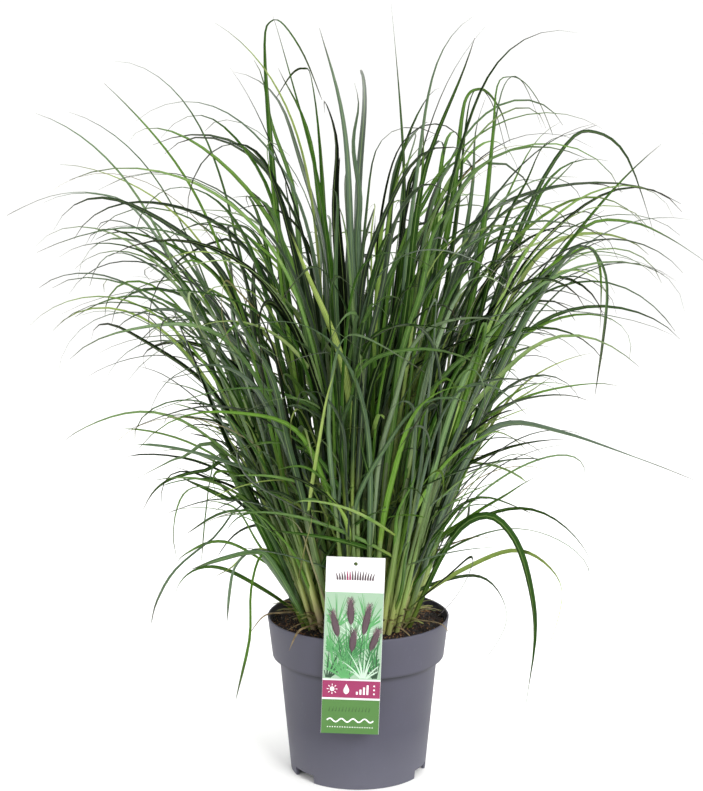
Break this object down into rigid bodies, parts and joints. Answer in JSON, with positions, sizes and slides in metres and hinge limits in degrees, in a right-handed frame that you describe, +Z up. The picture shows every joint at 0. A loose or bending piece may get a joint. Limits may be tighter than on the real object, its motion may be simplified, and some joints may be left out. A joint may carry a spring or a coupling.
{
  "type": "potted fountain grass",
  "caption": "Dense clump of arching narrow grass leaves in a round tapered nursery pot with a stepped collar, potting soil and a folded plant label over the rim.",
  "frame": {"origin": "the middle of the pot's foot, on the surface that the pot stands on", "axes": "+Z up along the pot's axis, -Y towards the front with the label, +X to the right seen from the front"},
  "size_m": [0.852, 0.787, 0.956],
  "materials": {
    "pot_plastic": "matte moulded polypropylene",
    "potting_soil": "rough, crumbly and fibrous",
    "label_sheet": "satin printed sheet",
    "grass": "satin leaf with fine lengthwise veins"
  },
  "bodies": {
    "root": {"pot": "pot_plastic", "soil": "potting_soil", "label": "label_sheet", "tuft_1": "grass", "tuft_2": "grass", "tuft_3": "grass", "tuft_4": "grass", "tuft_5": "grass", "tuft_6": "grass", "tuft_7": "grass", "tuft_8": "grass"}
  },
  "joints": []
}
